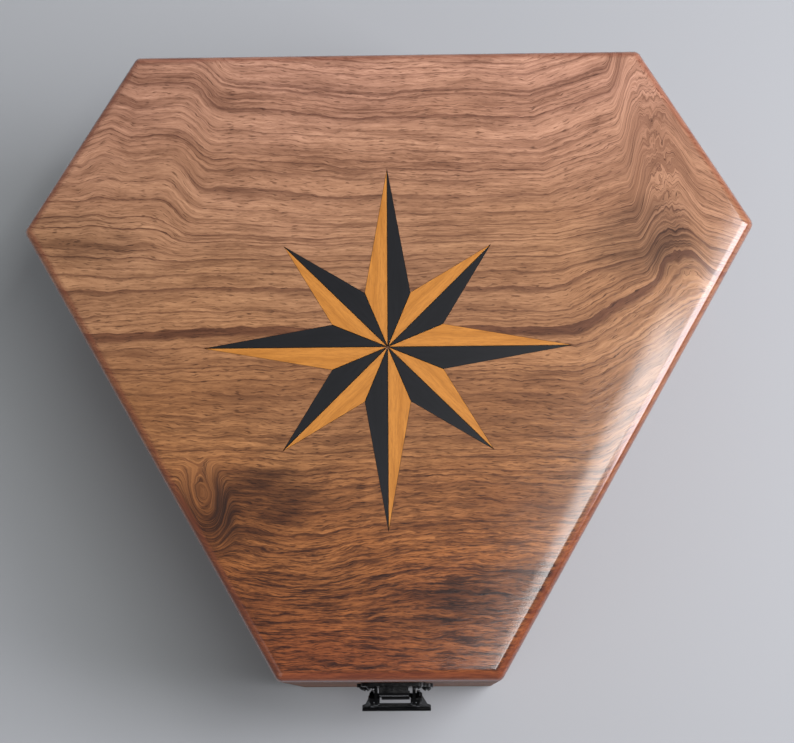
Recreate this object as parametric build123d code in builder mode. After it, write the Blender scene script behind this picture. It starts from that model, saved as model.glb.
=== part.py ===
from build123d import *
import os
from math import cos, radians, sin, tan

os.makedirs("parts", exist_ok=True)

# A six-sided wooden box for a pocket sextant. Millimetres, +Z up, standing on Z = 0.
# The wide side with the hinges is the back (+Y), the short side with the latch the front (-Y).

# Outline seen from above: a triangle with its three corners cut off.
full_width = 160.0
full_depth = 138.0
back_side = 112.0
front_side = 47.0
shoulder_depth = 40.0  # from the back face to the two widest corners
corner_radius = 1.5

# Wood
base_height = 48.0
lid_height = 24.0
wall_thickness = 8.0
floor_thickness = 6.0
top_thickness = 8.0
top_round = 2.5
foot_round = 1.0

# Star let into the top
star_long_ray = 40.0
star_short_ray = 32.0
star_valley = 13.0
star_shift = 2.0  # towards the back, from the middle of the depth
star_depth = 1.2
glue_line = 0.14

# Velvet over card, and the blocks that the sextant rests on
lining_thickness = 1.2
floor_pad_thickness = 2.0
lid_pad_thickness = 3.0
lining_drop = 1.5  # the lining stops this far short of the rim
pad_gap = 0.3
rest_height = 16.0
rest_depth = 14.0
rest_lip_height = 6.0
rest_lip_depth = 5.0
rear_rest_length = 24.0
rear_rest_spacing = 72.0
rear_rest_gap = 6.0  # from the side lining
front_rest_length = 22.0
front_rest_gap = 4.0
rest_round = 1.5

# Hinges: brass butt hinges let into both rims
hinge_length = 26.0
hinge_spacing = 66.0
hinge_inset = 2.0  # pin axis in from the back face
barrel_radius = 1.9
hinge_pin_radius = 0.9
leaf_thickness = 0.9
leaf_land = 0.9  # wood left inside the leaf
leaf_gap = 0.05
knuckle_count = 5
knuckle_gap = 0.2
running_gap = 0.05
mortise_gap = 0.1
groove_gap = 0.2
rim_bevel_angle = 51.0  # each back rim, so the lid stops just past 100 degrees

# Countersunk brass wood screws in the hinges
hinge_screw_spacing = 15.0
sunk_head_radius = 1.35
sunk_shank_radius = 0.7
sunk_length = 6.5
sunk_point = 1.6
slot_width = 0.4
slot_depth = 0.35

# Latch: black steel draw latch. "Out" is the distance in front of the front wall.
latch_offset = 0.5  # to the right of the middle
plate_thickness = 0.8
plate_width = 17.0
plate_height = 20.0
plate_drop = 2.0  # top edge of the plate below the parting line
plate_corner = 1.5
lever_axis_drop = 5.5  # pin axis below the parting line
lever_axis_out = 3.4
tongue_axis_drop = 5.5  # below the lever axis when shut
tongue_axis_out = 2.5
rivet_radius = 0.7
rivet_head_radius = 1.2
rivet_head_height = 0.45
tongue_pin_radius = 0.5
tongue_pin_head_radius = 0.9
ear_thickness = 0.7
ear_radius = 1.5
ear_foot = 2.6
cheek_radius = 1.7
tongue_cheek_radius = 1.2
lever_width = 11.0
lever_sheet = 0.7
lever_length = 14.5
lever_face_drop = 8.3  # top edge of the face below the lever axis
lever_face_out = 4.9
lever_bend_drop = 10.0
lip_width = 17.0
lip_out = 6.0
lip_radius = 0.55
lip_corner = 0.9
wing_out = 1.7  # back corner of the side wings, in front of the wall
wing_drop = 6.4  # the same corner, below the lever axis
lever_slot_width = 5.6
lever_slot_height = 1.7
tongue_width = 6.4
tongue_sheet = 0.7
tongue_bend = 0.6
tongue_barrel_radius = 1.0
hook_reach = 1.0  # how far the tongue's end reaches in over the ledge
hook_gap = 0.1
side_gap = 0.2

keeper_width = 14.0
keeper_height = 9.0
keeper_lift = 2.0  # lower edge above the parting line
ledge_width = 6.0
ledge_out = 1.95
ledge_height = 1.9
ledge_top = 7.5  # above the parting line

# Round-headed black screws in the latch
round_head_radius = 1.1
round_head_height = 0.7
round_shank_radius = 0.6
round_length = 6.0
round_point = 1.2
plate_screw_spacing = 14.0
plate_screw_top = 3.5  # below the top edge of the plate
plate_screw_bottom = 2.0  # above the bottom edge of the plate
keeper_screw_spacing = 10.0

# Heights and faces that follow from them
parting = base_height
overall_height = base_height + lid_height
back_face = full_depth / 2
front_face = -full_depth / 2
hinge_axis = (back_face - hinge_inset, parting)
leaf_width = wall_thickness - hinge_inset - leaf_land
hinge_places = (-hinge_spacing / 2, hinge_spacing / 2)
leaf_screw_y = hinge_axis[0] - (barrel_radius + leaf_width) / 2
lined_wall = wall_thickness + lining_thickness
wall_names = ("back", "back_left", "side_left", "front", "side_right", "back_right")
bevelled_walls = ("back", "back_left", "back_right")


def corners(inset=0.0):
    """Corners of the outline moved inwards, anticlockwise from the back right."""
    half = full_depth / 2
    widest = half - shoulder_depth
    outer = [
        Vector(back_side / 2, half),
        Vector(-back_side / 2, half),
        Vector(-full_width / 2, widest),
        Vector(-front_side / 2, -half),
        Vector(front_side / 2, -half),
        Vector(full_width / 2, widest),
    ]
    moved = []
    for i, corner in enumerate(outer):
        before = (corner - outer[i - 1]).normalized()
        after = (outer[(i + 1) % 6] - corner).normalized()
        inward_before = Vector(-before.Y, before.X)
        inward_after = Vector(-after.Y, after.X)
        share = inset / (1 + inward_before.dot(inward_after))
        moved.append(corner + (inward_before + inward_after) * share)
    return moved


def outline_sketch(height, inset=0.0, radius=corner_radius):
    """The outline as a face at a height, with its corners softened."""
    with BuildSketch(Plane.XY.offset(height)) as sketch:
        with BuildLine():
            Polyline(*corners(inset), close=True)
        make_face()
        if radius > 0:
            fillet(sketch.vertices(), radius=radius)
    return sketch.sketch


def write(builder, label):
    """Labels a finished piece and writes its STEP file."""
    builder.part.label = label
    export_step(builder.part, f"parts/{label}.step")


def out(distance, height):
    """A point in the YZ plane, at a distance in front of the front wall."""
    return (front_face - distance, height)


# Screws, pointing along +Z from the surface that their heads seat on
with BuildPart() as sunk_screw:
    head_depth = sunk_head_radius - sunk_shank_radius
    shank_end = sunk_length - sunk_point
    with BuildSketch(Plane.XZ):
        with BuildLine():
            Polyline(
                (0, 0),
                (sunk_head_radius, 0),
                (sunk_shank_radius, head_depth),
                (sunk_shank_radius, shank_end),
                (0, sunk_length),
                close=True,
            )
        make_face()
    revolve(axis=Axis.Z)
    Box(
        2 * sunk_head_radius, slot_width, slot_depth,
        align=(Align.CENTER, Align.CENTER, Align.MIN), mode=Mode.SUBTRACT,
    )

with BuildPart() as round_screw:
    shank_end = round_length - round_point
    with BuildSketch(Plane.XZ):
        with BuildLine():
            Line((0, -round_head_height), (0, round_length))
            Line((0, round_length), (round_shank_radius, shank_end))
            Line((round_shank_radius, shank_end), (round_shank_radius, 0))
            Line((round_shank_radius, 0), (round_head_radius, 0))
            RadiusArc(
                (round_head_radius, 0), (0, -round_head_height),
                (round_head_radius**2 + round_head_height**2) / (2 * round_head_height),
            )
        make_face()
    revolve(axis=Axis.Z)
    with Locations((0, 0, -round_head_height)):
        Box(
            2 * round_head_radius, slot_width, slot_depth,
            align=(Align.CENTER, Align.CENTER, Align.MIN), mode=Mode.SUBTRACT,
        )

hinge_screw_xs = [x + dx for x in hinge_places for dx in (-hinge_screw_spacing / 2, hinge_screw_spacing / 2)]
base_leaf_face = parting - leaf_gap
lid_leaf_face = parting + leaf_gap
down_seats = [Plane((x, leaf_screw_y, base_leaf_face), z_dir=(0, 0, -1)) for x in hinge_screw_xs]
up_seats = [Plane((x, leaf_screw_y, lid_leaf_face), z_dir=(0, 0, 1)) for x in hinge_screw_xs]

plate_top = parting - plate_drop
plate_bottom = plate_top - plate_height
keeper_bottom = parting + keeper_lift
keeper_screw_z = keeper_bottom + keeper_height / 2
plate_seats = [
    Plane((latch_offset + x, front_face - plate_thickness, z), z_dir=(0, 1, 0))
    for x in (-plate_screw_spacing / 2, plate_screw_spacing / 2)
    for z in (plate_top - plate_screw_top, plate_bottom + plate_screw_bottom)
]
keeper_seats = [
    Plane((latch_offset + x, front_face - plate_thickness, keeper_screw_z), z_dir=(0, 1, 0))
    for x in (-keeper_screw_spacing / 2, keeper_screw_spacing / 2)
]


def wall(place, name, bottom, height, side):
    """One mitred wall, with side -1 below the parting line and 1 above it."""
    outer = corners()
    inner = corners(wall_thickness)
    after = (place + 1) % 6
    with BuildPart() as piece:
        with BuildSketch(Plane.XY.offset(bottom)):
            with BuildLine():
                Polyline(outer[place], outer[after], inner[after], inner[place], close=True)
            make_face()
        extrude(amount=height)
        extrude(outline_sketch(bottom), amount=height, mode=Mode.INTERSECT)
        if name in bevelled_walls:
            # Behind the pin axis the rim slopes away, and the two slopes are the lid's stop.
            fall = 2 * hinge_inset * tan(radians(rim_bevel_angle))
            with BuildSketch(Plane.YZ):
                with BuildLine():
                    Polyline(
                        hinge_axis,
                        (hinge_axis[0] + 2 * hinge_inset, parting),
                        (hinge_axis[0] + 2 * hinge_inset, parting + side * fall),
                        close=True,
                    )
                make_face()
            extrude(amount=full_width / 2, both=True, mode=Mode.SUBTRACT)
        if name == "back":
            for x in hinge_places:
                with Locations((x, hinge_axis[0] - leaf_width / 2, parting)):
                    Box(
                        hinge_length + 2 * mortise_gap,
                        leaf_width + 2 * mortise_gap,
                        2 * (leaf_thickness + leaf_gap + mortise_gap),
                        mode=Mode.SUBTRACT,
                    )
                with Locations((x, *hinge_axis)):
                    Cylinder(
                        barrel_radius + groove_gap, hinge_length + 2 * mortise_gap,
                        rotation=(0, 90, 0), mode=Mode.SUBTRACT,
                    )
            with Locations(*(down_seats if side < 0 else up_seats)):
                Cylinder(
                    sunk_shank_radius + running_gap, sunk_length + running_gap,
                    align=(Align.CENTER, Align.CENTER, Align.MIN), mode=Mode.SUBTRACT,
                )
        if name == "front":
            with Locations(*(plate_seats if side < 0 else keeper_seats)):
                Cylinder(
                    round_shank_radius + running_gap, round_length + running_gap,
                    align=(Align.CENTER, Align.CENTER, Align.MIN), mode=Mode.SUBTRACT,
                )
    return piece


# Base: a full-size floor board with six mitred walls glued on it
with BuildPart() as base_floor:
    extrude(outline_sketch(0), amount=floor_thickness)
    foot_edges = base_floor.faces().sort_by(Axis.Z)[0].edges()
    fillet(foot_edges, radius=foot_round)
write(base_floor, "base_floor")

for place, name in enumerate(wall_names):
    base_wall = wall(place, name, floor_thickness, base_height - floor_thickness, -1)
    write(base_wall, f"base_wall_{name}")

# Lid: a full-size top board on six mitred walls, with its upper edge rounded over
lid_wall_height = lid_height - top_thickness
for place, name in enumerate(wall_names):
    lid_wall = wall(place, name, parting, lid_wall_height, 1)
    write(lid_wall, f"lid_wall_{name}")


def ray_tip(ray):
    """Tip of one of the eight rays, the long ones square to the box."""
    length = star_long_ray if ray % 2 == 0 else star_short_ray
    return Vector(length * cos(radians(45 * ray)), length * sin(radians(45 * ray)) + star_shift)


def ray_valley(ray):
    """Bottom of the notch on the anticlockwise side of a ray."""
    angle = radians(45 * ray + 22.5)
    return Vector(star_valley * cos(angle), star_valley * sin(angle) + star_shift)


star_floor = overall_height - star_depth
with BuildPart() as lid_top:
    extrude(outline_sketch(parting + lid_wall_height), amount=top_thickness)
    upper_edges = lid_top.faces().sort_by(Axis.Z)[-1].edges()
    fillet(upper_edges, radius=top_round)
    with BuildSketch(Plane.XY.offset(star_floor)):
        with BuildLine():
            Polyline(*[point for ray in range(8) for point in (ray_tip(ray), ray_valley(ray))], close=True)
        make_face()
    extrude(amount=star_depth, mode=Mode.SUBTRACT)
write(lid_top, "lid_top")


def star_halves(light):
    """Eight half rays: the light ones lie on the anticlockwise side of each ray."""
    with BuildPart() as halves:
        for ray in range(8):
            with BuildSketch(Plane.XY.offset(star_floor)):
                with BuildLine():
                    if light:
                        Polyline((0, star_shift), ray_tip(ray), ray_valley(ray), close=True)
                    else:
                        Polyline((0, star_shift), ray_valley(ray - 1), ray_tip(ray), close=True)
                make_face()
                offset(amount=-glue_line / 2, kind=Kind.INTERSECTION, mode=Mode.REPLACE)
            extrude(amount=star_depth)
    return halves


write(star_halves(light=True), "star_light_halves")
write(star_halves(light=False), "star_dark_halves")


def ring(bottom, top):
    """Velvet that goes once round the inside of the walls."""
    with BuildPart() as lining:
        extrude(outline_sketch(bottom, wall_thickness, 0), amount=top - bottom)
        extrude(outline_sketch(bottom, lined_wall, 0), amount=top - bottom, mode=Mode.SUBTRACT)
    return lining


# Velvet: a strip round the walls of each half, and a padded board in each
write(ring(floor_thickness, parting - lining_drop), "base_side_lining")
write(ring(parting + lining_drop, parting + lid_wall_height), "lid_side_lining")

with BuildPart() as base_floor_pad:
    extrude(outline_sketch(floor_thickness, lined_wall + pad_gap), amount=floor_pad_thickness)
write(base_floor_pad, "base_floor_pad")

with BuildPart() as lid_pad:
    pad_bottom = parting + lid_wall_height - lid_pad_thickness
    extrude(outline_sketch(pad_bottom, lined_wall + pad_gap), amount=lid_pad_thickness)
write(lid_pad, "lid_pad")

# Rests: velvet-covered blocks, each with a step that keeps the sextant from sliding outwards
rest_bottom = floor_thickness + floor_pad_thickness


def rest(centre_x, outer_y, length, outwards):
    """A stepped block; outwards is 1 where the high step is on the +Y side, -1 on the -Y side."""
    with BuildPart() as block:
        with BuildSketch(Plane.YZ.offset(centre_x - length / 2)):
            with BuildLine():
                Polyline(
                    (outer_y, rest_bottom),
                    (outer_y, rest_bottom + rest_height + rest_lip_height),
                    (outer_y - outwards * rest_lip_depth, rest_bottom + rest_height + rest_lip_height),
                    (outer_y - outwards * rest_lip_depth, rest_bottom + rest_height),
                    (outer_y - outwards * rest_depth, rest_bottom + rest_height),
                    (outer_y - outwards * rest_depth, rest_bottom),
                    close=True,
                )
            make_face()
        extrude(amount=length)
        upright = block.edges().filter_by(Axis.Z)
        fillet(upright.group_by(Axis.Y)[0] + upright.group_by(Axis.Y)[-1], radius=rest_round)
    return block


inner_back = back_face - lined_wall
inner_front = front_face + lined_wall
rear_rest_y = inner_back - rear_rest_gap
write(rest(-rear_rest_spacing / 2, rear_rest_y, rear_rest_length, 1), "rest_rear_left")
write(rest(rear_rest_spacing / 2, rear_rest_y, rear_rest_length, 1), "rest_rear_right")
write(rest(0, inner_front + front_rest_gap, front_rest_length, -1), "rest_front")

# Hinges
knuckle = hinge_length / knuckle_count


def hinge_leaf(centre_x, side, own):
    """A leaf with its knuckles; side is -1 for the base leaf, own lists its knuckles."""
    start = centre_x - hinge_length / 2
    leaf_middle = parting + side * (leaf_gap + leaf_thickness / 2)
    with BuildPart() as leaf:
        with Locations((centre_x, hinge_axis[0] - leaf_width / 2, leaf_middle)):
            Box(hinge_length, leaf_width, leaf_thickness)
        inner_corners = leaf.edges().filter_by(Axis.Z).group_by(Axis.Y)[0]
        fillet(inner_corners, radius=leaf_thickness)
        with Locations((centre_x, *hinge_axis)):
            Cylinder(barrel_radius, hinge_length, rotation=(0, 90, 0))
        for place in range(knuckle_count):
            if place not in own:
                with Locations((start + (place + 0.5) * knuckle, *hinge_axis)):
                    Cylinder(
                        barrel_radius + groove_gap, knuckle + knuckle_gap,
                        rotation=(0, 90, 0), mode=Mode.SUBTRACT,
                    )
        with Locations((centre_x, *hinge_axis)):
            Cylinder(
                hinge_pin_radius + running_gap, 2 * hinge_length,
                rotation=(0, 90, 0), mode=Mode.SUBTRACT,
            )
        seats = down_seats if side < 0 else up_seats
        with Locations(*[seat for seat in seats if abs(seat.origin.X - centre_x) < hinge_length / 2]):
            Cone(
                sunk_head_radius + running_gap, sunk_shank_radius + running_gap,
                sunk_head_radius - sunk_shank_radius,
                align=(Align.CENTER, Align.CENTER, Align.MIN), mode=Mode.SUBTRACT,
            )
            Cylinder(
                sunk_shank_radius + running_gap, 2 * leaf_thickness,
                align=(Align.CENTER, Align.CENTER, Align.MIN), mode=Mode.SUBTRACT,
            )
    return leaf


base_knuckles = range(0, knuckle_count, 2)
lid_knuckles = range(1, knuckle_count, 2)
for hand, centre_x in zip(("left", "right"), hinge_places):
    write(hinge_leaf(centre_x, -1, base_knuckles), f"{hand}_hinge_base_leaf")
    write(hinge_leaf(centre_x, 1, lid_knuckles), f"{hand}_hinge_lid_leaf")
    with BuildPart() as hinge_pin:
        with Locations((centre_x, *hinge_axis)):
            Cylinder(hinge_pin_radius, hinge_length, rotation=(0, 90, 0))
    write(hinge_pin, f"{hand}_hinge_pin")

with BuildPart() as hinge_base_screws:
    with Locations(*down_seats):
        add(sunk_screw.part)
write(hinge_base_screws, "hinge_base_screws")

with BuildPart() as hinge_lid_screws:
    with Locations(*up_seats):
        add(sunk_screw.part)
write(hinge_lid_screws, "hinge_lid_screws")

# Latch. Its pieces are drawn in the YZ plane and thickened along X.
lever_axis = out(lever_axis_out, parting - lever_axis_drop)
tongue_axis = out(tongue_axis_out, parting - lever_axis_drop - tongue_axis_drop)
ear_outer = lever_width / 2 - lever_sheet - side_gap
cheek_inner = lever_width / 2 - lever_sheet


def both_sides(inner, thickness):
    """Starts of two plates of one thickness, one each side of the latch's middle."""
    return (latch_offset + inner, latch_offset - inner - thickness)


with BuildPart() as latch_plate:
    with BuildSketch(Plane.XZ.offset(-front_face)):
        with Locations((latch_offset, (plate_top + plate_bottom) / 2)):
            RectangleRounded(plate_width, plate_height, plate_corner)
    extrude(amount=plate_thickness)
    for start in both_sides(ear_outer - ear_thickness, ear_thickness):
        with BuildSketch(Plane.YZ.offset(start)):
            with Locations(lever_axis):
                Circle(ear_radius)
            with Locations(out(plate_thickness / 2, lever_axis[1])):
                Rectangle(plate_thickness, 2 * ear_foot)
            make_hull()
        extrude(amount=ear_thickness)
    with Locations((latch_offset, *lever_axis)):
        Cylinder(
            rivet_radius + running_gap, 2 * lever_width, rotation=(0, 90, 0), mode=Mode.SUBTRACT,
        )
    with Locations(*plate_seats):
        Cylinder(
            round_shank_radius + running_gap, 4 * plate_thickness, mode=Mode.SUBTRACT,
        )
write(latch_plate, "latch_plate")

with BuildPart() as latch_lever_rivets:
    head_in = ear_outer - ear_thickness - rivet_head_height
    shank_length = rivet_head_height + ear_thickness + side_gap + lever_sheet
    for side in (-1, 1):
        seat = Plane((latch_offset + side * head_in, *lever_axis), z_dir=(side, 0, 0))
        with Locations(seat):
            Cylinder(
                rivet_head_radius, rivet_head_height - running_gap,
                align=(Align.CENTER, Align.CENTER, Align.MIN),
            )
            Cylinder(
                rivet_radius, shank_length + running_gap + rivet_head_height / 2,
                align=(Align.CENTER, Align.CENTER, Align.MIN),
            )
            with Locations((0, 0, shank_length + running_gap)):
                Cone(
                    rivet_head_radius, rivet_radius, rivet_head_height,
                    align=(Align.CENTER, Align.CENTER, Align.MIN),
                )
write(latch_lever_rivets, "latch_lever_rivets")

face_top = lever_axis[1] - lever_face_drop
bend = lever_axis[1] - lever_bend_drop
tip = lever_axis[1] - lever_length
with BuildPart() as latch_lever:
    with BuildSketch(Plane.YZ.offset(latch_offset)):
        with BuildLine():
            straight = Line(out(lever_face_out, face_top), out(lever_face_out, bend))
            flare = TangentArc(
                out(lever_face_out, bend), out(lip_out - lip_radius, tip), tangent=straight % 1,
            )
            offset(amount=lever_sheet, side=Side.LEFT)
        make_face()
        with Locations(out(lip_out - lip_radius, tip)):
            Circle(lip_radius)
    extrude(amount=lip_width / 2, both=True)
    with BuildSketch(Plane.XZ.offset(-front_face)) as front_view:
        with BuildLine():
            Polyline(
                (latch_offset - lever_width / 2, face_top + lever_sheet),
                (latch_offset - lever_width / 2, face_top - lever_sheet),
                (latch_offset - lip_width / 2, tip - lip_radius),
                (latch_offset + lip_width / 2, tip - lip_radius),
                (latch_offset + lever_width / 2, face_top - lever_sheet),
                (latch_offset + lever_width / 2, face_top + lever_sheet),
                close=True,
            )
        make_face()
        lip_corners = front_view.vertices().sort_by(Axis.Y)[:2]
        fillet(lip_corners, radius=lip_corner)
    extrude(amount=2 * lip_out, mode=Mode.INTERSECT)
    for start in both_sides(cheek_inner, lever_sheet):
        with BuildSketch(Plane.YZ.offset(start)):
            with Locations(lever_axis):
                Circle(cheek_radius)
            with Locations(tongue_axis):
                Circle(tongue_cheek_radius)
            with Locations(out(lever_face_out - lever_sheet / 2, (face_top + bend) / 2)):
                Rectangle(lever_sheet / 2, face_top - bend)
            make_hull()
        extrude(amount=lever_sheet)
    # A thin wing joins each cheek to the end of the lip, behind the flared face.
    for side in (-1, 1):
        cheek_outer = latch_offset + side * lever_width / 2
        wing_edge = Wire.make_polygon([
            (cheek_outer, *out(wing_out, lever_axis[1] - wing_drop)),
            (cheek_outer, *out(lever_face_out - lever_sheet / 2, face_top)),
            (
                latch_offset + side * (lip_width / 2 - lip_corner),
                *out(lip_out - lip_radius - lever_sheet / 2, tip + lip_corner),
            ),
        ])
        extrude(Face(wing_edge), amount=lever_sheet, dir=(-side, 0, 0))
    with Locations((latch_offset, *lever_axis)):
        Cylinder(
            rivet_radius + running_gap, 2 * lever_width, rotation=(0, 90, 0), mode=Mode.SUBTRACT,
        )
    with Locations((latch_offset, *tongue_axis)):
        Cylinder(
            tongue_pin_radius + running_gap, 2 * lever_width, rotation=(0, 90, 0), mode=Mode.SUBTRACT,
        )
    with BuildSketch(Plane.XZ.offset(-front_face)):
        with Locations((latch_offset, (face_top + tip) / 2)):
            SlotOverall(lever_slot_width, lever_slot_height)
    extrude(amount=2 * lip_out, mode=Mode.SUBTRACT)
write(latch_lever, "latch_lever")

with BuildPart() as latch_tongue_pin:
    with Locations((latch_offset, *tongue_axis)):
        Cylinder(tongue_pin_radius, lever_width + tongue_pin_head_radius, rotation=(0, 90, 0))
    for side in (-1, 1):
        seat_x = latch_offset + side * (lever_width / 2 + running_gap)
        with Locations(Plane((seat_x, *tongue_axis), z_dir=(side, 0, 0))):
            Cone(
                tongue_pin_head_radius, tongue_pin_radius, tongue_pin_head_radius / 2,
                align=(Align.CENTER, Align.CENTER, Align.MIN),
            )
write(latch_tongue_pin, "latch_tongue_pin")

# The tongue rises in front of the keeper's ledge and its end turns in over it.
ledge_z = parting + ledge_top
tongue_inside = ledge_out + hook_gap + running_gap
tongue_outside = tongue_inside + tongue_sheet
hook_underside = ledge_z + hook_gap
with BuildPart() as latch_tongue:
    with BuildSketch(Plane.YZ.offset(latch_offset)) as tongue_profile:
        with BuildLine():
            Polyline(
                out(tongue_inside, tongue_axis[1]),
                out(tongue_inside, hook_underside),
                out(ledge_out - hook_reach, hook_underside),
                out(ledge_out - hook_reach, hook_underside + tongue_sheet),
                out(tongue_outside, hook_underside + tongue_sheet),
                out(tongue_outside, tongue_axis[1]),
                close=True,
            )
        make_face()
        outer_bend = tongue_profile.vertices().sort_by(Axis.Y)[-2:].sort_by(Axis.X)[0]
        fillet(outer_bend, radius=tongue_bend)
        with Locations(tongue_axis):
            Circle(tongue_barrel_radius)
            Circle(tongue_pin_radius + running_gap, mode=Mode.SUBTRACT)
    extrude(amount=tongue_width / 2, both=True)
write(latch_tongue, "latch_tongue")

with BuildPart() as latch_keeper:
    with BuildSketch(Plane.XZ.offset(-front_face)):
        with Locations((latch_offset, keeper_bottom + keeper_height / 2)):
            RectangleRounded(keeper_width, keeper_height, plate_corner)
    extrude(amount=plate_thickness)
    with BuildSketch(Plane.YZ.offset(latch_offset)) as ledge_profile:
        with BuildLine():
            Polyline(
                out(plate_thickness / 2, ledge_z),
                out(ledge_out, ledge_z),
                out(ledge_out, ledge_z - ledge_height / 2),
                out(plate_thickness / 2, ledge_z - ledge_height),
                close=True,
            )
        make_face()
    extrude(amount=ledge_width / 2, both=True)
    with Locations(*keeper_seats):
        Cylinder(
            round_shank_radius + running_gap, 4 * plate_thickness, mode=Mode.SUBTRACT,
        )
write(latch_keeper, "latch_keeper")

with BuildPart() as latch_plate_screws:
    with Locations(*plate_seats):
        add(round_screw.part)
write(latch_plate_screws, "latch_plate_screws")

with BuildPart() as keeper_screws:
    with Locations(*keeper_seats):
        add(round_screw.part)
write(keeper_screws, "keeper_screws")
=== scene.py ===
import math

import bmesh
import bpy
from mathutils import Matrix, Vector


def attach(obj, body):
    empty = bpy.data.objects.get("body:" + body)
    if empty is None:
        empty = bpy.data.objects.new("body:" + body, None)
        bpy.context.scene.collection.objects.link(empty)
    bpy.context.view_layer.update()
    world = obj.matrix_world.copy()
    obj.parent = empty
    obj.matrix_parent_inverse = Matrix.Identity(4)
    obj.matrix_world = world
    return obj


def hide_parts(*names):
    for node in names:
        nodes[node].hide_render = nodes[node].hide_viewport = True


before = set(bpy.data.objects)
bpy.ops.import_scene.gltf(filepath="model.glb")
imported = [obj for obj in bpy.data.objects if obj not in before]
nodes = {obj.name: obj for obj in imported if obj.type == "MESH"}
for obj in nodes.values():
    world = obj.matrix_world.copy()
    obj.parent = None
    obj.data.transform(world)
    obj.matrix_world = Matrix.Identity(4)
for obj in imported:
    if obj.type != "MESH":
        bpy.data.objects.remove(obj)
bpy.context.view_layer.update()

# ---------------------------------------------------------------------------------------------
# Base floor. A board of Indian rosewood, planed and sanded, glued under the base walls.
# Its grain runs across the box. Satin lacquer is sprayed over it with the rest of the base.
# ---------------------------------------------------------------------------------------------


def linear(hex_colour):
    """The linear RGBA that a shader takes for an sRGB hex colour."""
    channels = [int(hex_colour[i : i + 2], 16) / 255 for i in (1, 3, 5)]
    return [c / 12.92 if c <= 0.04045 else ((c + 0.055) / 1.055) ** 2.4 for c in channels] + [1.0]


def node(tree, kind, wires=None, **settings):
    """Adds one node to a material. A wire is a plain value, or the output that feeds the input.

    Inputs that share a name go by number. A Mix node's share is 0, its numbers are 2 and 3, its
    colours 6 and 7, and its colour comes out at 2. A Math node's values are 0, 1 and 2.
    """
    made = tree.nodes.new(kind)
    for setting, value in settings.items():
        setattr(made, setting, value)
    for name, value in (wires or {}).items():
        if isinstance(value, bpy.types.NodeSocket):
            tree.links.new(value, made.inputs[name])
        else:
            made.inputs[name].default_value = value
    return made


def new_material(name):
    """A new material, with its node tree and the shader in it."""
    material = bpy.data.materials.new(name)
    material.use_nodes = True
    return material, material.node_tree, material.node_tree.nodes["Principled BSDF"]


def fill_ramp(ramp, stops):
    """Gives a ramp its stops, as (position, colour), from its first end to its last."""
    for position, _ in stops[1:-1]:
        ramp.elements.new(position)
    for element, (_, colour) in zip(ramp.elements, stops):
        element.color = colour


def patch(tree, board, shape, middle, lean, size):
    """A gradient laid on the board, with its middle and reach in mm and its lean in degrees."""
    local = node(
        tree,
        "ShaderNodeMapping",
        {
            "Vector": board,
            "Location": (*middle, 0),
            "Rotation": (0, 0, math.radians(lean)),
            "Scale": (*size, 1000),
        },
        vector_type="TEXTURE",
    )
    return node(tree, "ShaderNodeTexGradient", {0: local.outputs[0]}, gradient_type=shape).outputs["Fac"]


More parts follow.
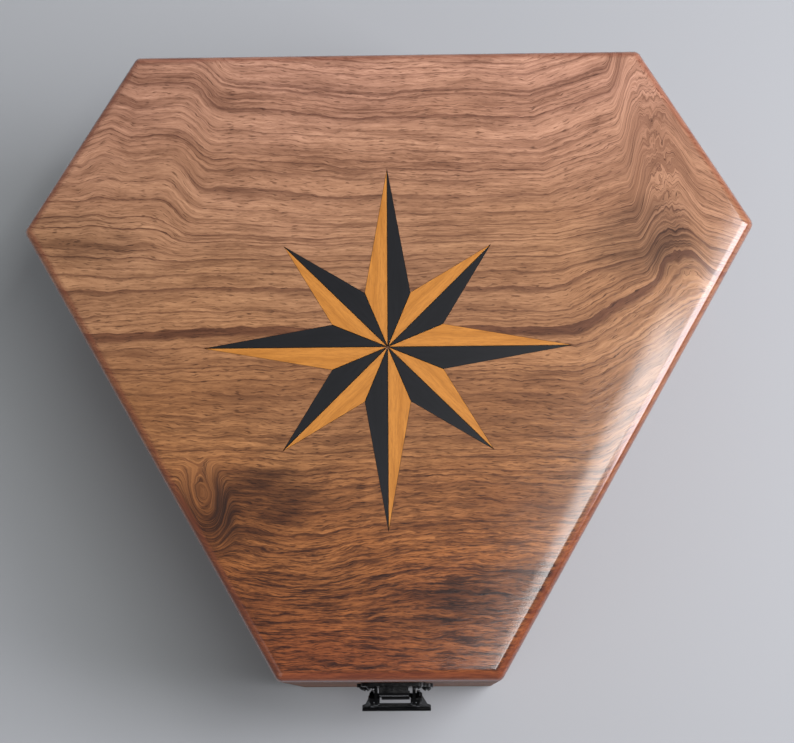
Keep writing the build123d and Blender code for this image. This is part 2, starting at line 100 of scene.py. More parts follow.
def rosewood(
    name,
    tones,
    coarse=(300, 400),
    turn=0.0,
    upright=False,
    offset=(0, 0, 0),
    wave=7.0,
    figure=(),
    jags=(),
    stains_and_shade=(),
    edge_red=0.0,
    sanded=None,
    lacquer=0.1,
    rough=(0.48, 0.58),
):
    """Lacquered rosewood, in mm along (x) and across (y) the board's grain.

    Thin dark growth lines lie 2 to 5 mm apart, with a harder edge on one side, between broad paler
    and darker bands. Open pores are dark dashes 2 mm long and 0.2 mm wide, a little coarser than
    real so that they show. The lacquer is satin on the flat, and glossier and redder where it is
    thick, on a rolled edge: edge_red is how far the wood goes over to red there.

    The tones are (mm across the board, colour) from its first edge to its second. The pores grow
    larger and closer, and dark threads appear between them, from the first place across the board
    that coarse gives to the second. Figure, jags and stains_and_shade are lists of features, each
    with its middle, lean and size. Each patch of stains_and_shade is a smoky dark patch, partly a
    stain in the wood and partly painted shade. Sanded gives a line that the top falls away beyond,
    as its middle, the direction of the fall, and its reach and drop. Offset is where in the tree the
    board was cut, wave how far its growth lines wander, and rough the roughness of its smooth and
    coarse streaks.
    """
    material, tree, shader = new_material(name)
    coordinates = node(tree, "ShaderNodeTexCoord")
    to_board = Matrix.Rotation(-turn, 3, "Z")
    if upright:
        to_board = Matrix.Rotation(math.radians(-90), 3, "X") @ to_board
    board = node(
        tree,
        "ShaderNodeMapping",
        {
            "Vector": coordinates.outputs["Object"],
            "Rotation": to_board.to_euler(),
            "Scale": (1000, 1000, 1000),
            "Location": offset,
        },
    ).outputs[0]
    axes = node(tree, "ShaderNodeSeparateXYZ", {0: board})
    along, across, deep = axes.outputs

    # The growth surfaces lean through the board's thickness, and wander by a millimetre or two.
    slant = 0.45
    across_cut = node(tree, "ShaderNodeMath", {0: deep, 1: slant, 2: across}, operation="MULTIPLY_ADD")
    drift = node(
        tree,
        "ShaderNodeMapping",
        {"Vector": board, "Scale": (0.45, 1.0, 0.6), "Location": (11.0, 5.0, 2.0)},
    )
    wander = node(
        tree,
        "ShaderNodeTexNoise",
        {"Vector": drift.outputs[0], "Scale": 0.045, "Detail": 3.0, "Roughness": 0.42},
    )
    level = node(
        tree,
        "ShaderNodeMath",
        {0: wander.outputs["Fac"], 1: wave, 2: across_cut.outputs[0]},
        operation="MULTIPLY_ADD",
    ).outputs[0]
    ripple_height = 1.6
    ripple = node(
        tree,
        "ShaderNodeTexNoise",
        {"Vector": drift.outputs[0], "Scale": 0.35, "Detail": 3.0, "Roughness": 0.55},
    )
    level = node(
        tree,
        "ShaderNodeMath",
        {0: ripple.outputs["Fac"], 1: ripple_height, 2: level},
        operation="MULTIPLY_ADD",
    ).outputs[0]
    # Each feature of the figure lifts or drops the growth lines: a round one by its height in the
    # middle, a step by its height from one side of a band to the other.
    for shape, ease, middle, lean, size, height, fade in figure:
        lift = node(
            tree,
            "ShaderNodeMapRange",
            {"Value": patch(tree, board, shape, middle, lean, size), "To Max": height},
            interpolation_type=ease,
        )
        share = node(
            tree,
            "ShaderNodeMapRange",
            {"Value": across, "From Min": fade[0], "From Max": fade[1]},
            interpolation_type="SMOOTHSTEP",
        )
        level = node(
            tree,
            "ShaderNodeMath",
            {0: lift.outputs[0], 1: share.outputs[0], 2: level},
            operation="MULTIPLY_ADD",
        ).outputs[0]

    # Where fibres cross, the lines break into jags.
    for middle, lean, size, height in jags:
        upright_jags = node(tree, "ShaderNodeMapping", {"Vector": board, "Scale": (1, 0.3, 0.3)})
        crossing = node(
            tree,
            "ShaderNodeTexNoise",
            {"Vector": upright_jags.outputs[0], "Scale": 0.6, "Detail": 2.0, "Roughness": 0.5},
        )
        jag = node(
            tree,
            "ShaderNodeMapRange",
            {
                "Value": crossing.outputs["Fac"],
                "From Min": 0.3,
                "From Max": 0.7,
                "To Min": -height,
                "To Max": height,
            },
        )
        share = patch(tree, board, "SPHERICAL", middle, lean, size)
        level = node(
            tree,
            "ShaderNodeMath",
            {0: jag.outputs[0], 1: share, 2: level},
            operation="MULTIPLY_ADD",
        ).outputs[0]

    # Growth lines: a saw wave of the level, each year a little stronger or weaker than the next.
    year_width = 2.3  # mm, before the years are spread unevenly
    years_spread = 6.0
    spread = node(
        tree,
        "ShaderNodeTexNoise",
        {"W": level, "Scale": 0.11, "Detail": 1.0},
        noise_dimensions="1D",
    )
    spacing = node(
        tree,
        "ShaderNodeMath",
        {0: spread.outputs["Fac"], 1: years_spread},
        operation="MULTIPLY",
    )
    years = node(
        tree,
        "ShaderNodeMath",
        {0: level, 1: 1 / year_width, 2: spacing.outputs[0]},
        operation="MULTIPLY_ADD",
    ).outputs[0]
    saw = node(tree, "ShaderNodeMath", {0: years}, operation="FRACT").outputs[0]
    year = node(tree, "ShaderNodeMath", {0: years}, operation="FLOOR").outputs[0]
    strength = node(tree, "ShaderNodeTexWhiteNoise", {"W": year}, noise_dimensions="1D")
    # Through each year the line darkens slowly, and ends sharply.
    line = node(tree, "ShaderNodeValToRGB", {"Fac": saw})
    darkness = ((0.0, 0.1), (0.05, 0.1), (0.55, 0.05), (0.8, 0.35), (0.92, 1.0), (0.97, 1.0), (1.0, 1.0))
    fill_ramp(line.color_ramp, [(position, (dark, dark, dark, 1)) for position, dark in darkness])
    line_weight = node(
        tree,
        "ShaderNodeMapRange",
        {"Value": strength.outputs["Value"], "To Min": 0.35, "To Max": 1.0},
    )
    line_mask = node(
        tree,
        "ShaderNodeMath",
        {0: line.outputs["Color"], 1: line_weight.outputs[0]},
        operation="MULTIPLY",
    )

    # Bands, streaks, fibres and pores follow the level, drawn out along the grain.
    drawn_out = node(tree, "ShaderNodeMath", {0: along, 1: 0.1}, operation="MULTIPLY")
    grain = node(
        tree,
        "ShaderNodeCombineXYZ",
        {"X": drawn_out.outputs[0], "Y": level, "Z": deep},
    ).outputs[0]
    bands, streaks, fibres, pores = (
        node(
            tree,
            "ShaderNodeTexNoise",
            {"Vector": grain, "Scale": scale, "Detail": detail, "Roughness": break_up},
        ).outputs["Fac"]
        for scale, detail, break_up in (
            (0.07, 2.0, 0.5),
            (0.4, 4.0, 0.65),
            (1.8, 5.0, 0.75),
            (4.2, 1.0, 0.5),
        )
    )
    coarser = 0.06  # how much the pores and fibres gain where the wood is coarse
    growing = node(
        tree,
        "ShaderNodeMapRange",
        {"Value": across, "From Min": coarse[0], "From Max": coarse[1]},
    ).outputs[0]
    pores, fibres = (
        node(tree, "ShaderNodeMath", {0: growing, 1: coarser, 2: value}, operation="MULTIPLY_ADD").outputs[0]
        for value in (pores, fibres)
    )
    # Where the wood is coarse, dark threads half a millimetre wide run between the fibres.
    threads = node(
        tree,
        "ShaderNodeTexNoise",
        {"Vector": grain, "Scale": 1.0, "Detail": 4.0, "Roughness": 0.75},
    )
    thread_mask = node(
        tree,
        "ShaderNodeMapRange",
        {"Value": threads.outputs["Fac"], "From Min": 0.46, "From Max": 0.6, "To Max": growing},
    )
    band_mask, streak_mask, fibre_mask, pore_mask = (
        node(tree, "ShaderNodeMapRange", {"Value": value, "From Min": low, "From Max": high})
        for value, low, high in (
            (bands, 0.35, 0.65),
            (streaks, 0.45, 0.72),
            (fibres, 0.38, 0.66),
            (pores, 0.6, 0.68),
        )
    )

    # The ground tone changes slowly across the board, pushed to and fro by up to half of cloud_reach.
    cloud_reach = 40.0
    first, last = tones[0][0], tones[-1][0]
    cloudy = node(
        tree,
        "ShaderNodeMath",
        {0: wander.outputs["Fac"], 1: cloud_reach, 2: across},
        operation="MULTIPLY_ADD",
    )
    place_across = node(
        tree,
        "ShaderNodeMapRange",
        {
            "Value": cloudy.outputs[0],
            "From Min": first + cloud_reach / 2,
            "From Max": last + cloud_reach / 2,
        },
    )
    ground = node(tree, "ShaderNodeValToRGB", {0: place_across.outputs[0]})
    stops = [((place - first) / (last - first), linear(hex_colour)) for place, hex_colour in tones]
    fill_ramp(ground.color_ramp, stops)
    colour = ground.outputs["Color"]
    # Each kind of mark darkens the ground with its own tint.
    for mask, share, hex_colour in (
        (band_mask, 0.8, "#D2C8C2"),
        (streak_mask, 0.9, "#AC9C94"),
        (line_mask, 1.0, "#A08E8C"),
        (fibre_mask, 0.75, "#B4A69C"),
        (pore_mask, 0.8, "#968880"),
        (thread_mask, 0.9, "#5E4232"),
    ):
        weight = node(tree, "ShaderNodeMath", {0: mask.outputs[0], 1: share}, operation="MULTIPLY")
        colour = node(
            tree,
            "ShaderNodeMix",
            {0: weight.outputs[0], 6: colour, 7: linear(hex_colour)},
            data_type="RGBA",
            blend_type="MULTIPLY",
        ).outputs[2]
    for middle, lean, size, share in stains_and_shade:
        # A smoky dark patch, broken up along the grain: partly a stain in the wood, partly painted shade.
        broken = node(
            tree,
            "ShaderNodeMapRange",
            {"Value": streaks, "From Min": 0.3, "From Max": 0.6, "To Min": 0.35 * share, "To Max": share},
        )
        spot = patch(tree, board, "SPHERICAL", middle, lean, size)
        soft_patch = node(
            tree,
            "ShaderNodeMapRange",
            {"Value": spot, "From Max": 0.6, "To Max": 1.0},
            interpolation_type="SMOOTHSTEP",
        )
        weight = node(
            tree,
            "ShaderNodeMath",
            {0: soft_patch.outputs[0], 1: broken.outputs[0]},
            operation="MULTIPLY",
        )
        colour = node(
            tree,
            "ShaderNodeMix",
            {0: weight.outputs[0], 6: colour, 7: linear("#8C7E74")},
            data_type="RGBA",
            blend_type="MULTIPLY",
        ).outputs[2]
    polish = node(
        tree,
        "ShaderNodeMapRange",
        {"Value": streaks, "From Min": 0.3, "From Max": 0.7, "To Min": rough[0], "To Max": rough[1]},
    ).outputs[0]
    relief = node(
        tree,
        "ShaderNodeMath",
        {0: pore_mask.outputs[0], 1: -1.0, 2: fibres},
        operation="MULTIPLY_ADD",
    )
    gathered = 0.0
    coat = lacquer
    if edge_red:
        # Where the top rolls over its edge, the lacquer gathers, fills the pores and deepens to
        # red. It thins out again on the upright sides below.
        facing = node(tree, "ShaderNodeSeparateXYZ", {0: coordinates.outputs["Normal"]}).outputs["Z"]
        bead, coat = (
            node(
                tree,
                "ShaderNodeMapRange",
                {"Value": facing, "From Min": 0.05, "From Max": 0.35, "To Min": thin, "To Max": thick},
            ).outputs[0]
            for thin, thick in ((0.0, 1.0), (0.05, lacquer))
        )
        rolled, gathered = (
            node(
                tree,
                "ShaderNodeMapRange",
                {"Value": facing, "From Min": 0.9985, "From Max": steep, "To Max": share},
            ).outputs[0]
            for steep, share in ((0.9, edge_red), (0.99, bead))
        )
        colour = node(
            tree,
            "ShaderNodeMix",
            {0: rolled, 6: colour, 7: linear("#864228")},
            data_type="RGBA",
        ).outputs[2]
    # Each pair below is a value on the flat and on the rolled edge.
    specular, roughness, pore_relief, coat_relief = (
        node(tree, "ShaderNodeMix", {0: gathered, 2: flat, 3: edge}).outputs[0]
        for flat, edge in ((0.1, 0.35), (polish, 0.16), (0.35, 0.05), (0.16, 0.0))
    )
    # The lacquer fills the pores, so its own surface follows only the fibres, at half their height.
    bump, coat_bump = (
        node(
            tree,
            "ShaderNodeBump",
            {"Height": height, "Strength": strength, "Distance": 0.00007},
        )
        for height, strength in ((relief.outputs[0], pore_relief), (fibres, coat_relief))
    )
    if sanded:
        # The flat has been sanded off a little towards one edge.
        middle, lean, reach, drop = sanded
        fall = patch(tree, board, "QUADRATIC", middle, lean, (reach, reach))
        slope = node(
            tree,
            "ShaderNodeBump",
            {"Height": fall, "Strength": 1.0, "Distance": drop / 1000},
            invert=True,
        )
        for finer in (bump, coat_bump):
            tree.links.new(slope.outputs[0], finer.inputs["Normal"])
    for socket, value in (
        ("Base Color", colour),
        ("Specular IOR Level", specular),
        ("Roughness", roughness),
        ("Normal", bump.outputs[0]),
        ("Coat Normal", coat_bump.outputs[0]),
    ):
        tree.links.new(value, shader.inputs[socket])
    if edge_red:
        tree.links.new(coat, shader.inputs["Coat Weight"])
    else:
        shader.inputs["Coat Weight"].default_value = coat
    shader.inputs["Coat Roughness"].default_value = 0.11
    shader.inputs["IOR"].default_value = 1.5
    return material


nodes["base_floor"].material_slots[0].material = rosewood(
    "rosewood_floor_board", tones=((-70, "#96592E"), (70, "#A1663C")), offset=(400, 0, 0)
)

# ---------------------------------------------------------------------------------------------
# Walls of the base and the lid. Six rosewood boards, mitred at the corners and glued. Each wall
# of the box is one board, sawn apart after the glue has set, so its figure runs on across the seam.
# ---------------------------------------------------------------------------------------------
# The box's right corners from back to front, in metres, and then all six of them in turn.
right_corners = ((0.056, 0.069), (0.080, 0.029), (0.0235, -0.069))
back, shoulder, front = right_corners
left_corners = [(-x, y) for x, y in right_corners]
corners = [back, *left_corners, front, shoulder]
blank_length = 170  # mm of the long board that each wall is cut from
for number, side in enumerate(("back", "back_left", "side_left", "front", "side_right", "back_right")):
    start, end = corners[number], corners[(number + 1) % len(corners)]
    finish = rosewood(
        "rosewood_wall_" + side,
        turn=math.atan2(end[1] - start[1], end[0] - start[0]),
        upright=True,
        offset=(blank_length * (number + 1), 0, 60),
        coarse=(40, 200),
        tones=((0, "#955A30"), (30, "#A4693F"), (64, "#985C32")),
    )
    for half in ("base", "lid"):
        nodes[f"{half}_wall_{side}"].material_slots[0].material = finish

# ---------------------------------------------------------------------------------------------
# Lid top. One wide board with figured grain, its upper edge rounded over and sanded, glued on
# the lid walls. A knot beside the blank has pushed its growth lines into a swirl and a feather.
# ---------------------------------------------------------------------------------------------
everywhere = (-300, -290)  # a feature that fades in this far in front of the box is whole on it
lid_figure = (
    # shape, ease, middle in mm, lean in degrees, size in mm, height in mm, faded in over y
    # Left: lines drop in an S, beside a low peaked ridge.
    ("LINEAR", "SMOOTHERSTEP", (-46, 60), -12, (12, 10), 6.0, (18, 34)),
    ("LINEAR", "SMOOTHSTEP", (-30, 60), -12, (30, 10), 2.5, (18, 34)),
    ("SPHERICAL", "LINEAR", (-61.5, 50), -9, (5, 26), -2.4, everywhere),
    # Right: lines climb to a steep-sided column, then fall away beyond it.
    ("LINEAR", "LINEAR", (33.7, 45), 9, (26, 10), -9.0, everywhere),
    ("LINEAR", "SMOOTHSTEP", (51.2, 45), 9, (6, 10), -9.0, (10, 25)),
    ("LINEAR", "SMOOTHSTEP", (62.0, 45), 9, (5, 10), 7.0, (10, 25)),
    ("LINEAR", "SMOOTHSTEP", (63.0, 45), 9, (18, 10), 8.0, (8, 26)),
    ("LINEAR", "LINEAR", (37.0, 45), 9, (26, 10), -5.0, (26, 10)),
    # Lower left: a tall narrow swirl round a pin knot.
    ("SPHERICAL", "SMOOTHERSTEP", (-38.9, -33), 12, (7, 14), 11.0, everywhere),
    ("SPHERICAL", "SMOOTHSTEP", (-20, -42), 0, (28, 22), 3.0, everywhere),
)
column_jags = (
    # middle in mm, lean in degrees, size in mm, height in mm
    ((59.5, 46), 9, (4.5, 34), 2.6),
)
# Dark patches on the lid top, each partly a stain in the wood and partly painted shade.
lid_stains_and_shade = (
    # middle in mm, lean in degrees, size in mm, share
    ((55, 26), 20, (16, 11), 0.65),
    ((62, 22), 0, (7, 8), 0.5),
    ((26, -50), 13, (34, 7), 0.6),
    ((-27, -32), 20, (15, 11), 1.0),
    ((-38, -34), 12, (8, 14), 0.9),
    ((-66, 27), -5, (16, 9), 0.5),
)
lid_tones = ((-66, "#A25C2E"), (-45, "#B2723C"), (-15, "#B07C4E"), (20, "#B88A64"), (66, "#C8987E"))
# The flat falls away by 0.63 mm within 12 mm of the right edge.
right_edge_fall = ((0.9, -108.1), -25.6, 12.0, 0.63)
nodes["lid_top"].material_slots[0].material = rosewood(
    "rosewood_lid_board",
    tones=lid_tones,
    coarse=(0, -50),
    offset=(0, 0, -72),
    wave=5.0,
    figure=lid_figure,
    jags=column_jags,
    stains_and_shade=lid_stains_and_shade,
    edge_red=0.48,
    sanded=right_edge_fall,
    lacquer=0.8,
    rough=(0.38, 0.46),
)

# ---------------------------------------------------------------------------------------------
# Compass star. Sixteen thin pieces of veneer, half pale and half dyed black, let into a pocket in
# the lid and lacquered with it. The grain of each piece runs along its ray.
# ---------------------------------------------------------------------------------------------
star_y = 0.002


def millimetres(tree, middle=(0, 0, 0)):
    """A piece's own coordinates in mm, counted from a middle that is given in metres."""
    place = node(tree, "ShaderNodeTexCoord").outputs["Object"]
    shift = [-1000 * distance for distance in middle]
    return node(
        tree,
        "ShaderNodeMapping",
        {"Vector": place, "Location": shift, "Scale": (1000, 1000, 1000)},
    ).outputs[0]


def veneer(name, wood, streak, pore):
    """Fine straight-grained veneer: fibres 0.3 mm apart, drawn out along each of the eight rays."""
    material, tree, shader = new_material(name)
    centred = millimetres(tree, (0, star_y, 0))
    axes = node(tree, "ShaderNodeSeparateXYZ", {0: centred})
    bearing = node(
        tree,
        "ShaderNodeMath",
        {0: axes.outputs["Y"], 1: axes.outputs["X"]},
        operation="ARCTAN2",
    )
    # SNAP rounds down, so the bearing is first turned on by half the step from ray to ray.
    ray_step = math.radians(45)
    bearing_on = node(
        tree,
        "ShaderNodeMath",
        {0: bearing.outputs[0], 1: ray_step / 2},
        operation="ADD",
    )
    ray = node(tree, "ShaderNodeMath", {0: bearing_on.outputs[0], 1: ray_step}, operation="SNAP")
    along_ray = node(
        tree,
        "ShaderNodeVectorRotate",
        {"Vector": centred, "Angle": ray.outputs[0]},
        rotation_type="Z_AXIS",
        invert=True,
    )
    drawn_out = node(tree, "ShaderNodeMapping", {"Vector": along_ray.outputs[0], "Scale": (0.12, 1, 1)})
    fibres = node(
        tree,
        "ShaderNodeTexNoise",
        {"Vector": drawn_out.outputs[0], "Scale": 3.2, "Detail": 4.0, "Roughness": 0.65},
    )
    bands = node(
        tree,
        "ShaderNodeTexNoise",
        {"Vector": drawn_out.outputs[0], "Scale": 0.6, "Detail": 2.0},
    )
    fibre_mask = node(
        tree,
        "ShaderNodeMapRange",
        {"Value": fibres.outputs["Fac"], "From Min": 0.45, "From Max": 0.75, "To Max": 0.6},
    )
    band_mask = node(
        tree,
        "ShaderNodeMapRange",
        {"Value": bands.outputs["Fac"], "From Min": 0.4, "From Max": 0.65, "To Max": 0.7},
    )
    banded = node(
        tree,
        "ShaderNodeMix",
        {0: band_mask.outputs[0], 6: linear(wood), 7: linear(streak)},
        data_type="RGBA",
    )
    grained = node(
        tree,
        "ShaderNodeMix",
        {0: fibre_mask.outputs[0], 6: banded.outputs[2], 7: linear(pore)},
        data_type="RGBA",
    )
    tree.links.new(grained.outputs[2], shader.inputs["Base Color"])
    bump = node(
        tree,
        "ShaderNodeBump",
        {"Height": fibres.outputs["Fac"], "Strength": 0.2, "Distance": 0.00005},
    )
    tree.links.new(bump.outputs[0], shader.inputs["Normal"])
    shader.inputs["Roughness"].default_value = 0.36
    shader.inputs["IOR"].default_value = 1.5
    shader.inputs["Specular IOR Level"].default_value = 0.1
    shader.inputs["Coat Weight"].default_value = 0.7
    shader.inputs["Coat Roughness"].default_value = 0.13
    return material


nodes["star_light_halves"].material_slots[0].material = veneer(
    "haldu_veneer_amber", "#BC7C34", "#A46826", "#82501E"
)
nodes["star_dark_halves"].material_slots[0].material = veneer(
    "dyed_black_veneer", "#141518", "#101114", "#08080A"
)

# ---------------------------------------------------------------------------------------------
# Velvet side linings. Strips of card covered with short-pile velvet, bent round the inside of the
# base and of the lid and glued to the walls, with the velvet folded over their open edge.
# ---------------------------------------------------------------------------------------------


def cut_outline(name, inset, height):
    """A flat hexagon in the shape of the box, inset from its outside, left open in edit mode."""
    wider_than_box = 0.17
    box_depth = back[1] - front[1]
    bpy.ops.object.select_all(action="DESELECT")
    bpy.ops.mesh.primitive_plane_add(size=1, enter_editmode=True, location=(0, 0, height))
    bpy.context.object.name = name
    bpy.ops.transform.resize(value=(wider_than_box, box_depth - 2 * inset, 1))
    for (start_x, start_y), (end_x, end_y) in ((back, shoulder), (shoulder, front)):
        for hand in (-1, 1):
            outward = Vector((hand * (start_y - end_y), end_x - start_x, 0)).normalized()
            bpy.ops.mesh.select_all(action="SELECT")
            bpy.ops.mesh.bisect(
                plane_co=Vector((hand * start_x, start_y, height)) - inset * outward,
                plane_no=outward,
                clear_outer=True,
            )
    bpy.ops.mesh.select_all(action="SELECT")
    return bpy.context.object


def apply_modifier(piece, name, kind, **settings):
    """Adds a modifier with its settings, and applies it."""
    modifier = piece.modifiers.new(name, kind)
    for setting, value in settings.items():
        setattr(modifier, setting, value)
    bpy.ops.object.modifier_apply(modifier=name)


def settle(piece, smooth_angle=40):
    """Leaves edit mode and puts the piece's place in its mesh, with its faces smooth up to an angle."""
    if piece.mode == "EDIT":
        bpy.ops.object.mode_set(mode="OBJECT")
    bpy.ops.object.transform_apply(location=True, rotation=True, scale=True)
    bpy.ops.object.shade_smooth_by_angle(angle=math.radians(smooth_angle))


def velvet(name):
    """Short-pile cotton velvet: deep wine red, with a pale sheen where the pile is seen edge on, and
    lighter and darker patches where it has been stroked. The pile's tufts are drawn 0.5 mm apart."""
    material, tree, shader = new_material(name)
    in_mm = millimetres(tree)
    stroked = node(
        tree,
        "ShaderNodeTexNoise",
        {"Vector": in_mm, "Scale": 0.09, "Detail": 3.0, "Roughness": 0.6, "Distortion": 1.2},
    )
    tufts = node(
        tree,
        "ShaderNodeTexNoise",
        {"Vector": in_mm, "Scale": 2.0, "Detail": 3.0, "Roughness": 0.7},
    )
    patches = node(
        tree,
        "ShaderNodeMix",
        {0: stroked.outputs["Fac"], 6: linear("#4A0712"), 7: linear("#7A1424")},
        data_type="RGBA",
    )
    shade = node(
        tree,
        "ShaderNodeMapRange",
        {"Value": tufts.outputs["Fac"], "From Min": 0.3, "From Max": 0.7, "To Min": 0.6, "To Max": 1.1},
    )
    pile = node(
        tree,
        "ShaderNodeMix",
        {0: 1.0, 6: patches.outputs[2], 7: shade.outputs[0]},
        data_type="RGBA",
        blend_type="MULTIPLY",
    )
    tree.links.new(pile.outputs[2], shader.inputs["Base Color"])
    bump = node(
        tree,
        "ShaderNodeBump",
        {"Height": tufts.outputs["Fac"], "Strength": 0.6, "Distance": 0.0004},
    )
    tree.links.new(bump.outputs[0], shader.inputs["Normal"])
    shader.inputs["Roughness"].default_value = 0.95
    shader.inputs["Specular IOR Level"].default_value = 0.2
    shader.inputs["Sheen Weight"].default_value = 0.7
    shader.inputs["Sheen Roughness"].default_value = 0.35
    shader.inputs["Sheen Tint"].default_value = linear("#D88A90")
    return material


wine_velvet = velvet("wine_red_cotton_velvet")
card_and_velvet = 0.0012
lining_inset = 0.00805
lining_middle = lining_inset + card_and_velvet / 2
for body, bottom, top in (("base", 0.006, 0.0465), ("lid", 0.0495, 0.064)):
    lining = cut_outline(body + "_velvet_lining", lining_middle, bottom)
    # Only the outline is kept, and drawn up into a band as high as the wall.
    bpy.ops.mesh.delete(type="ONLY_FACE")
    bpy.ops.mesh.select_all(action="SELECT")
    bpy.ops.mesh.extrude_region_move(TRANSFORM_OT_translate={"value": (0, 0, top - bottom)})
    bpy.ops.mesh.select_all(action="SELECT")
    bpy.ops.mesh.normals_make_consistent(inside=False)
    settle(lining)
    apply_modifier(
        lining,
        "card and pile",
        "SOLIDIFY",
        thickness=card_and_velvet,
        offset=0,
        use_even_offset=True,
    )
    apply_modifier(lining, "folded edge", "BEVEL", width=0.0005, segments=3, limit_method="ANGLE")
    settle(lining)
    lining.data.materials.append(wine_velvet)
    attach(lining, body)
    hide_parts(body + "_side_lining")

# ---------------------------------------------------------------------------------------------
# Velvet pads. Card with a thin layer of wadding, covered with velvet turned under its edges, and
# glued to the floor of the base and to the underside of the lid.
# ---------------------------------------------------------------------------------------------


def pick_faces(test):
    """In edit mode, selects just the faces whose middle and normal pass the test."""
    bpy.ops.mesh.select_mode(type="FACE")
    bpy.ops.mesh.select_all(action="DESELECT")
    shape = bmesh.from_edit_mesh(bpy.context.object.data)
    for face in shape.faces:
        face.select_set(test(face.calc_center_median(), face.normal))
    shape.select_flush_mode()
    bmesh.update_edit_mesh(bpy.context.object.data)


pad_inset = 0.0096
# Each pad starts at the side that is glued down, and rises 0.6 of its thickness straight up from
# there. The velvet then rolls over the edge of the wadding in three narrow steps.
straight = 0.6
rolled_steps = ((0.0005, 0.22), (0.0012, 0.12), (0.006, 0.06))  # metres in, share of the thickness up
for body, node_name, glued, velvet_side in (
    ("base", "base_floor_pad", 0.006, 0.008),
    ("lid", "lid_pad", 0.064, 0.061),
):
    rise = velvet_side - glued
    pad = cut_outline(node_name + "_velvet", pad_inset, glued)
    bpy.ops.mesh.normals_make_consistent(inside=False)
    bpy.ops.mesh.extrude_region_move(TRANSFORM_OT_translate={"value": (0, 0, straight * rise)})
    pick_faces(lambda middle, normal: abs(middle.z - straight * rise) < 1e-5)
    for step_in, step_up in rolled_steps:
        bpy.ops.mesh.inset(thickness=step_in, depth=0)
        bpy.ops.transform.translate(value=(0, 0, step_up * rise))
    bpy.ops.mesh.select_all(action="SELECT")
    bpy.ops.mesh.normals_make_consistent(inside=False)
    settle(pad, 60)
    pad.data.materials.append(wine_velvet)
    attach(pad, body)
    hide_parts(node_name)

# ---------------------------------------------------------------------------------------------
# Rests. Three wooden blocks that hold the instrument off the floor, each with a raised step on its
# outer side, padded and wrapped in velvet. They are glued to the floor pad.
# ---------------------------------------------------------------------------------------------
rest_height = 0.016
rest_depth = 0.014
rest_middle_z = 0.008 + rest_height / 2  # it stands on the floor pad
step_depth = 0.005
step_height = 0.006
step_line = rest_depth / 2 - step_depth  # the step's inner edge, from the middle of the block
for name, width, middle_x, middle_y, outward in (
    ("rest_rear_left", 0.024, -0.036, 0.0468, 1),
    ("rest_rear_right", 0.024, 0.036, 0.0468, 1),
    ("rest_front", 0.022, 0.0, -0.0488, -1),
):
    block_middle = (middle_x, middle_y, rest_middle_z)
    bpy.ops.object.select_all(action="DESELECT")
    bpy.ops.mesh.primitive_cube_add(size=1, enter_editmode=True, location=block_middle)
    rest = bpy.context.object
    rest.name = name + "_velvet"
    bpy.ops.transform.resize(value=(width, rest_depth, rest_height))
    # The top is cut along the step's inner edge, and the strip outside it drawn up.
    cut = (middle_x, middle_y + step_line * outward, rest_middle_z)
    bpy.ops.mesh.bisect(plane_co=cut, plane_no=(0, 1, 0))
    pick_faces(lambda middle, normal: normal.z > 0.9 and middle.y * outward > step_line)
    bpy.ops.mesh.extrude_region_move(TRANSFORM_OT_translate={"value": (0, 0, step_height)})
    bpy.ops.mesh.select_all(action="SELECT")
    bpy.ops.mesh.remove_doubles(threshold=1e-6)
    bpy.ops.mesh.normals_make_consistent(inside=False)
    settle(rest)
    apply_modifier(rest, "padded edge", "BEVEL", width=0.0012, segments=3, limit_method="ANGLE")
    settle(rest, 60)
    rest.data.materials.append(wine_velvet)
    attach(rest, "base")
    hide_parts(name)

# ---------------------------------------------------------------------------------------------
# Hinges. Two small butt hinges of rolled brass sheet, each on a hard-drawn brass pin, let into the
# back rim. Each leaf is held by two slotted brass screws.
# ---------------------------------------------------------------------------------------------


def brass(name, fresh, worn, roughness, stroke):
    """Yellow brass: brushed along the leaf in strokes 0.1 mm wide, dulled in brown patches where it
    has tarnished. A metal, so its colour is in its reflections."""
    material, tree, shader = new_material(name)
    in_mm = millimetres(tree)
    brushed = node(tree, "ShaderNodeMapping", {"Vector": in_mm, "Scale": stroke}).outputs[0]
    strokes = node(
        tree,
        "ShaderNodeTexNoise",
        {"Vector": brushed, "Scale": 6.0, "Detail": 3.0, "Roughness": 0.7},
    )
    patches = node(
        tree,
        "ShaderNodeTexNoise",
        {"Vector": in_mm, "Scale": 0.5, "Detail": 5.0, "Roughness": 0.65},
    )
    tarnish = node(
        tree,
        "ShaderNodeMapRange",
        {"Value": patches.outputs["Fac"], "From Min": 0.45, "From Max": 0.7},
    )
    colour = node(
        tree,
        "ShaderNodeMix",
        {0: tarnish.outputs[0], 6: linear(fresh), 7: linear(worn)},
        data_type="RGBA",
    )
    tree.links.new(colour.outputs[2], shader.inputs["Base Color"])
    dulled = node(
        tree,
        "ShaderNodeMapRange",
        {"Value": tarnish.outputs[0], "To Min": roughness, "To Max": roughness + 0.18},
    )
    tree.links.new(dulled.outputs[0], shader.inputs["Roughness"])
    bump = node(
        tree,
        "ShaderNodeBump",
        {"Height": strokes.outputs["Fac"], "Strength": 0.3, "Distance": 0.00003},
    )
    tree.links.new(bump.outputs[0], shader.inputs["Normal"])
    shader.inputs["Metallic"].default_value = 1.0
    return material


rolled_brass = brass("rolled_brass_brushed", "#D9B062", "#9C7438", 0.3, (0.08, 1, 1))
turned_brass = brass("turned_brass", "#E0BA70", "#A88245", 0.24, (1, 1, 1))
for hand in ("left", "right"):
    for part in ("base_leaf", "lid_leaf"):
        nodes[f"{hand}_hinge_{part}"].material_slots[0].material = rolled_brass
    nodes[f"{hand}_hinge_pin"].material_slots[0].material = turned_brass
for screws in ("hinge_base_screws", "hinge_lid_screws"):
    nodes[screws].material_slots[0].material = turned_brass

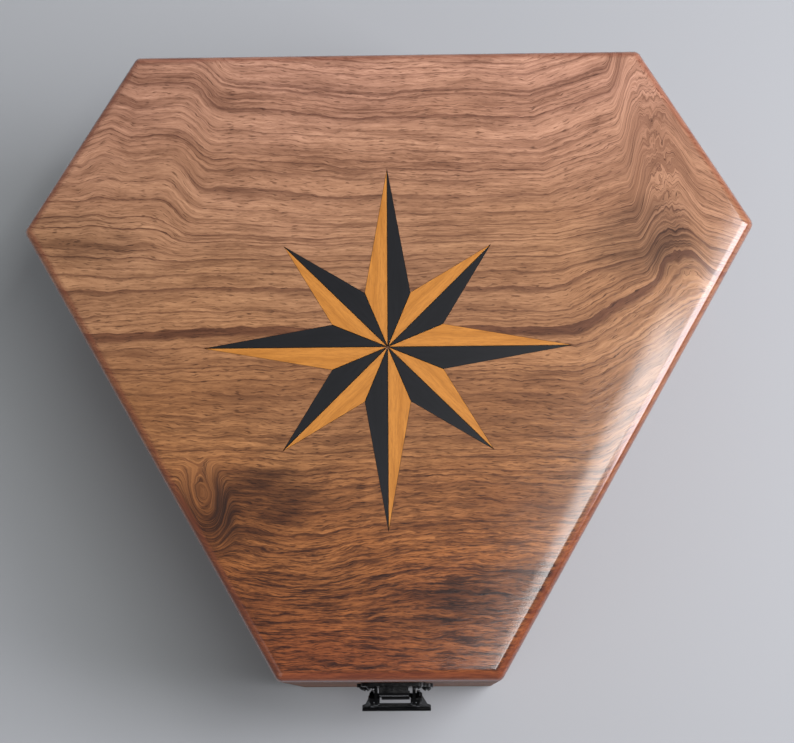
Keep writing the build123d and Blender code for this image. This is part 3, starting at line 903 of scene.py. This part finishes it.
# ---------------------------------------------------------------------------------------------
# Latch. A snap catch pressed from steel sheet 0.7 to 0.8 mm thick: a plate and a lever on the base,
# a tongue that hangs from the lever, and a keeper on the lid. It is plated glossy black all over.
# ---------------------------------------------------------------------------------------------
black_plate, tree, shader = new_material("black_plated_steel")
in_mm = millimetres(tree)
# Plating follows the pressed sheet's faint ripple, and dulls in small smudges.
pressed = node(tree, "ShaderNodeTexNoise", {"Vector": in_mm, "Scale": 0.9, "Detail": 2.0})
smudges = node(
    tree,
    "ShaderNodeTexNoise",
    {"Vector": in_mm, "Scale": 0.6, "Detail": 5.0, "Roughness": 0.7},
)
tone = node(
    tree,
    "ShaderNodeMix",
    {0: smudges.outputs["Fac"], 6: linear("#020203"), 7: linear("#070708")},
    data_type="RGBA",
)
tree.links.new(tone.outputs[2], shader.inputs["Base Color"])
gloss = node(
    tree,
    "ShaderNodeMapRange",
    {"Value": smudges.outputs["Fac"], "From Min": 0.3, "From Max": 0.7, "To Min": 0.12, "To Max": 0.28},
)
tree.links.new(gloss.outputs[0], shader.inputs["Roughness"])
bump = node(
    tree,
    "ShaderNodeBump",
    {"Height": pressed.outputs["Fac"], "Strength": 0.25, "Distance": 0.0001},
)
tree.links.new(bump.outputs[0], shader.inputs["Normal"])
shader.inputs["IOR"].default_value = 1.45
shader.inputs["Specular IOR Level"].default_value = 0.2
for part in (
    "latch_plate",
    "latch_lever",
    "latch_lever_rivets",
    "latch_tongue",
    "latch_tongue_pin",
    "latch_keeper",
    "latch_plate_screws",
    "keeper_screws",
):
    nodes[part].material_slots[0].material = black_plate

# ---------------------------------------------------------------------------------------------
# Room. A plain pale floor, soft even light from all round, and two soft lamps high on the right,
# a tall panel and a fanlight, that are mirrored along the lid's right edge. A weak one stands left.
# ---------------------------------------------------------------------------------------------
bpy.ops.object.select_all(action="DESELECT")
bpy.ops.mesh.primitive_plane_add(size=6.0, location=(0, 0, 0))
floor = bpy.context.object
floor.name = "room_floor"
# Matt paper: one pale grey all over, with hardly any shine.
matt_paper, tree, shader = new_material("pale_matt_paper")
shader.inputs["Base Color"].default_value = linear("#A6A9AB")
shader.inputs["Roughness"].default_value = 0.95
shader.inputs["Specular IOR Level"].default_value = 0.1
floor.data.materials.append(matt_paper)

world = bpy.data.worlds.new("soft_room")
bpy.context.scene.world = world
world.use_nodes = True
sky = world.node_tree.nodes["Background"]
sky.inputs["Color"].default_value = linear("#F4F6FA")
sky.inputs["Strength"].default_value = 0.32


def lamp(name, place, aim, size, watts, tint="#FFFFFF"):
    """An oblong soft lamp that shines from a place towards a point."""
    light = bpy.data.lights.new(name, "AREA")
    light.shape = "RECTANGLE"
    light.size, light.size_y = size
    light.energy = watts
    light.color = linear(tint)[:3]
    holder = bpy.data.objects.new(name, light)
    bpy.context.scene.collection.objects.link(holder)
    holder.location = place
    holder.rotation_euler = (Vector(aim) - Vector(place)).to_track_quat("-Z", "Y").to_euler()
    holder.visible_camera = False


# Both lamps hang in one sloping plane to the right of the box. The plane falls away from the box
# along the line from its top to its foot, and runs level along the lid's right edge.
plane_top = Vector((0.147, 0.121, 0.672))
plane_foot = Vector((0.58, -0.128, 0.33))
plane_middle = (plane_top + plane_foot) / 2
right_edge = Vector((0.498, 0.867, 0.0))
down = (plane_foot - plane_top).normalized()
facing = right_edge.cross(down).normalized()
backward = down.cross(facing)
# The tall panel is mirrored in the rounded edge, along the rear half of the right side.
panel = plane_middle + 0.0285 * backward + 0.115 * down
lamp("window_panel", panel, panel + facing, (0.223, 0.67), 5.3, "#FBF8FF")
# The fanlight is mirrored in the flat beside that edge, where it has been sanded off a little.
fanlight = plane_top + 0.055 * down - 0.115 * backward
lamp("window_fanlight", fanlight, fanlight + facing, (0.25, 0.10), 1.25)
lamp("fill_lamp", (-0.5, -0.6, 0.6), (0.0, 0.0, 0.04), (0.6, 0.6), 0.7)

# The camera looks down at the lid from in front, 0.38 m above it and a little to the right.
eye = Vector((0.01027, -0.07601, 0.45158))
forward = Vector((-0.02147, 0.18774, -0.98198)).normalized()
rightward = forward.cross(Vector((0.00974, 0.98220, 0.18757))).normalized()
upward = rightward.cross(forward)
lens = bpy.data.cameras.new("camera")
lens.sensor_width = 36.0
lens.sensor_fit = "HORIZONTAL"
lens.lens = 81.61
lens.clip_start = 0.01
camera = bpy.data.objects.new("camera", lens)
bpy.context.scene.collection.objects.link(camera)
camera.matrix_world = Matrix.Translation(eye) @ Matrix((rightward, upward, -forward)).transposed().to_4x4()
bpy.context.scene.camera = camera
bpy.context.scene.view_settings.view_transform = "Standard"
